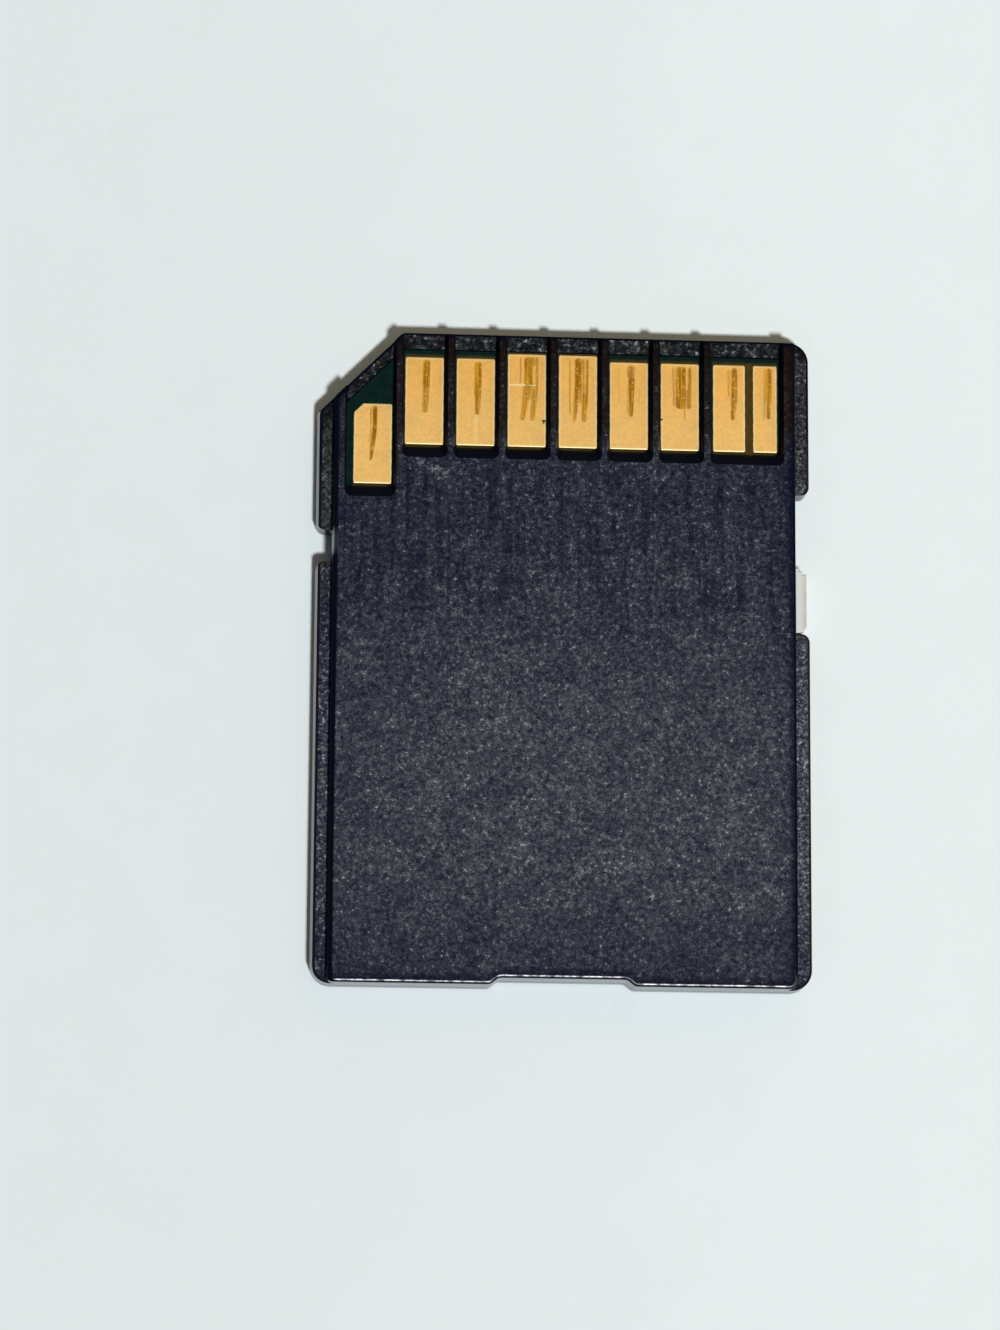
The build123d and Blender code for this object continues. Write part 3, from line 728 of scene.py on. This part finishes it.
def contact_surface(low, high, settings, cut=None, phase=0.0):
    """Points of one contact on a grid of rows along Y and columns across X.

    Each row runs between a left and a right limit, which draw in by r - sqrt(r^2 - a^2) at the corners
    and follow x = y - cut at a cut corner. Both limits waver by sines of y. The height falls by the square
    of the way into the rim, to the board at the edge itself. Given too is how near the edge each point is,
    from 0 a few rims in to 1 at the edge.
    """
    rim, corner, ragged = (value / MM for value in (settings.rim, settings.corner, settings.raggedness))
    size = high - low
    rows = edge_steps(size[1], rim, ROW_SPACING)[:, None] + low[1]
    columns = edge_steps(size[0], rim, COLUMN_SPACING)[None, :] / size[0]
    near_end = np.minimum(rows - low[1], high[1] - rows)
    inset = corner - np.sqrt(corner**2 - np.clip(corner - near_end, 0.0, corner) ** 2)
    wave = ragged * (np.sin(7.3 * rows + phase) + 0.6 * np.sin(19.1 * rows + 2.3 * phase))
    left = low[0] + inset + wave
    right = high[0] - inset + ragged * np.sin(9.7 * rows + 1.7 * phase)
    if cut is not None:
        left = np.maximum(left, rows - cut)
    x = left + (right - left) * columns
    y = rows + 0.0 * x
    inside = np.minimum(np.minimum(x - left, right - x), np.minimum(y - low[1], high[1] - y))
    z = high[2] - size[2] * (1.0 - np.clip(inside / rim, 0.0, 1.0)) ** 2
    return np.stack([x, y, z], axis=-1), np.clip(1.0 - inside / (PAINTED_HIGHLIGHT_RIMS * rim), 0.0, 1.0)


def grid_faces(rows, columns):
    """Quads of a grid that faces up, and the border loop of the flat underside."""
    index = np.arange(rows * columns).reshape(rows, columns)
    corners = [index[:-1, :-1], index[:-1, 1:], index[1:, 1:], index[1:, :-1]]
    quads = np.stack(corners, axis=-1).reshape(-1, 4)
    loop = np.concatenate([index[0, :-1], index[:-1, -1], index[-1, :0:-1], index[:0:-1, 0]])
    return quads, loop[::-1]


def key_cut():
    """Value of y - x along the cut corner of the keyed contact, read from its solid."""
    vertices = NODES[contact_name(KEYED_CONTACT)].data.vertices
    points = np.empty(len(vertices) * 3)
    vertices.foreach_get("co", points)
    points = points.reshape(-1, 3) / MM
    return float((points[:, 1] - points[:, 0]).max())


def contact_piece(number, settings, material):
    """One gold contact that stands for its solid, with its wear and a painted highlight along its rim kept
    at each point of its mesh.
    """
    node = contact_name(number)
    low, high = CONTACT_BOXES[number]
    cut = key_cut() if number == KEYED_CONTACT else None
    points, edge = contact_surface(low, high, settings, cut, phase=float(number))
    quads, underside = grid_faces(*points.shape[:2])
    flat = points.reshape(-1, 3)
    mesh = bpy.data.meshes.new(f"{node}_gold")
    mesh.from_pydata((flat * MM).tolist(), [], quads.tolist() + [underside.tolist()])
    smooth = np.ones(len(mesh.polygons), dtype=bool)
    smooth[-1] = False
    mesh.polygons.foreach_set("use_smooth", smooth)
    across, down = flat[:, 0] - low[0], high[1] - flat[:, 1]
    marks = {name: streak_cover(kind.get(number, []), across, down)
             for name, kind in (("wear", STREAKS), ("scratch", SCRATCHES), ("nick", NICKS))}
    marks["wear"] *= np.clip(0.4 + 2.0 * down, 0.0, 1.0)
    pale = streak_cover(PALE_LINES.get(number, []), across, down)
    # The rim mark: a painted highlight along the contact's edge, joined with the pale rubbed lines
    marks["rim"] = np.maximum(0.9 * edge.ravel() ** 0.7, pale)
    for name, values in marks.items():
        mesh.attributes.new(name, "FLOAT", "POINT").data.foreach_set("value", values.astype(np.float32))
    mesh.materials.append(material)
    mesh.update()
    piece = bpy.data.objects.new(f"{node}_gold", mesh)
    bpy.context.scene.collection.objects.link(piece)
    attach(piece, CARD_BODY)
    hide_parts(node)


class CARD_OT_shells(bpy.types.Operator):
    """Gives both shells their grained plastic"""

    bl_idname = "card.shells"
    bl_label = "Dress Shells"

    def execute(self, context):
        dress(shell_plastic(context.scene.card_plastic), "front_cover", "back_cover")
        return {"FINISHED"}


class CARD_OT_slider(bpy.types.Operator):
    """Gives the slider its pale plastic"""

    bl_idname = "card.slider"
    bl_label = "Dress Slider"

    def execute(self, context):
        dress(slider_plastic(context.scene.card_slider), "write_protect_slider")
        return {"FINISHED"}


class CARD_OT_board(bpy.types.Operator):
    """Gives the circuit board its lacquer"""

    bl_idname = "card.board"
    bl_label = "Dress Board"

    def execute(self, context):
        dress(board_lacquer(context.scene.card_board), "circuit_board")
        return {"FINISHED"}


class CARD_OT_contacts(bpy.types.Operator):
    """Makes the nine gold contacts with their rounded rims and worn streaks"""

    bl_idname = "card.contacts"
    bl_label = "Make Contacts"

    def execute(self, context):
        settings = context.scene.card_contacts
        gold = contact_gold(settings)
        dress(gold, *(contact_name(number) for number in CONTACT_BOXES))
        for number in CONTACT_BOXES:
            contact_piece(number, settings, gold.material)
        return {"FINISHED"}


class CARD_OT_inner_parts(bpy.types.Operator):
    """Gives the chips, leads and small parts under the board their finishes"""

    bl_idname = "card.inner_parts"
    bl_label = "Dress Inner Parts"

    def execute(self, context):
        settings = context.scene.card_board
        dress(chip_package(settings), "flash_memory_chip", "controller_chip")
        dress(lead_tin(settings), "flash_memory_leads")
        for kind, body in (("capacitor", settings.capacitor), ("resistor", settings.resistor)):
            names = [name for name in NODES if name.startswith(kind)]
            dress(capped_ceramic(f"{kind}_ceramic", body, settings, names[0]), *names)
        return {"FINISHED"}


class CARD_OT_stage(bpy.types.Operator):
    """Lays the paper, lights it and stands the camera where the picture was taken"""

    bl_idname = "card.stage"
    bl_label = "Set Stage"

    def execute(self, context):
        settings = context.scene.card_stage
        lay_paper(settings)
        light_stage(context.scene, settings)
        stand_camera(context.scene, settings)
        context.scene.view_settings.view_transform = "Standard"
        return {"FINISHED"}


def lay_paper(settings):
    """Level sheet of paper just under the card, faintly mottled, with painted light that makes it paler to
    the right.
    """
    reach = FLOOR_REACH
    corners = [(-reach, -reach, -FLOOR_DROP), (reach, -reach, -FLOOR_DROP),
               (reach, reach, -FLOOR_DROP), (-reach, reach, -FLOOR_DROP)]
    mesh = bpy.data.meshes.new("paper")
    mesh.from_pydata(corners, [], [(0, 1, 2, 3)])
    finish = Finish("paper")
    at = finish.place()
    # Painted light: the paper grows paler towards the right
    painted_light_side = finish.remap(finish.part(at, "X"), *PAPER_SIDES)
    mottle = finish.remap(finish.noise(at, 0.25, 4.0, 0.6), 0.0, 1.0, 0.15, -0.15)
    bright = finish.sums("ADD", painted_light_side, mottle)
    dim, lit = (shaded(settings.paper, factor) for factor in PAPER_SHADES)
    finish.surface(base_color=finish.blend(bright, dim, lit), roughness=0.9, specular_ior_level=0.2)
    mesh.materials.append(finish.material)
    paper = bpy.data.objects.new("paper", mesh)
    bpy.context.scene.collection.objects.link(paper)


def light_stage(scene, settings):
    """One soft lamp at the lower right, and dim surroundings.

    These are paler at table height, and warm on one side beyond the card's front edge.
    """
    lamp = bpy.data.lights.new("key", "SUN")
    lamp.energy = settings.key_strength
    lamp.color = settings.key
    lamp.angle = settings.key_softness
    key = bpy.data.objects.new("key", lamp)
    key.location = KEY_PLACE
    key.rotation_mode = "QUATERNION"
    key.rotation_quaternion = Vector(KEY_PLACE).to_track_quat("Z", "Y")
    scene.collection.objects.link(key)
    world = bpy.data.worlds.new("surroundings")
    world.use_nodes = True
    sky = Nodes(world.node_tree)
    direction = sky.add("ShaderNodeTexCoord").outputs["Generated"]
    tone = settings.horizon
    for towards, low, high, end in (((0.0, 0.0, 1.0), 0.0, HORIZON_HEIGHT, settings.overhead),
                                    (GLOW_FROM, GLOW_EDGE, 1.0, settings.glow)):
        along = sky.add("ShaderNodeVectorMath", operation="DOT_PRODUCT")
        sky.feed(along.inputs[0], direction)
        sky.feed(along.inputs[1], towards)
        tone = sky.blend(sky.remap(along.outputs["Value"], low, high), tone, end)
    sky.feed(world.node_tree.nodes["Background"].inputs["Color"], tone)
    scene.world = world


def stand_camera(scene, settings):
    """Camera above the card's lower left, aimed at the table and turned by the picture's small roll."""
    lens = bpy.data.cameras.new("camera")
    lens.lens = settings.lens
    lens.clip_start = 0.01
    camera = bpy.data.objects.new("camera", lens)
    camera.location = CAMERA_PLACE
    camera.rotation_mode = "QUATERNION"
    back = (Vector(CAMERA_PLACE) - Vector(CAMERA_AIM)).normalized()
    right = Vector((0.0, 1.0, 0.0)).cross(back).normalized()
    upright = Matrix((right, back.cross(right), back)).transposed().to_quaternion()
    camera.rotation_quaternion = upright @ Quaternion((0.0, 0.0, 1.0), settings.roll)
    scene.collection.objects.link(camera)
    scene.camera = camera


class CARD_PT_looks(bpy.types.Panel):
    """Settings and steps of the memory card's looks"""

    bl_label = "Memory Card"
    bl_idname = "CARD_PT_looks"
    bl_space_type = "VIEW_3D"
    bl_region_type = "UI"
    bl_category = "Memory Card"

    def draw(self, context):
        for operator in OPERATORS:
            self.layout.operator(operator.bl_idname)
        for name, group in SETTINGS.items():
            box = self.layout.box()
            box.label(text=group.__doc__)
            for field in group.__annotations__:
                box.prop(getattr(context.scene, name), field)


SETTINGS = {
    "card_plastic": CardPlasticSettings,
    "card_contacts": CardContactSettings,
    "card_board": CardBoardSettings,
    "card_slider": CardSliderSettings,
    "card_stage": CardStageSettings,
}
OPERATORS = (CARD_OT_shells, CARD_OT_slider, CARD_OT_board, CARD_OT_contacts, CARD_OT_inner_parts,
             CARD_OT_stage)


def register():
    for name, group in SETTINGS.items():
        bpy.utils.register_class(group)
        setattr(bpy.types.Scene, name, PointerProperty(type=group))
    for item in (*OPERATORS, CARD_PT_looks):
        bpy.utils.register_class(item)


def unregister():
    for item in (CARD_PT_looks, *reversed(OPERATORS)):
        bpy.utils.unregister_class(item)
    for name, group in reversed(SETTINGS.items()):
        delattr(bpy.types.Scene, name)
        bpy.utils.unregister_class(group)


def main():
    register()
    bpy.ops.card.shells()
    bpy.ops.card.slider()
    bpy.ops.card.board()
    bpy.ops.card.contacts()
    bpy.ops.card.inner_parts()
    bpy.ops.card.stage()


if __name__ == "__main__":
    main()
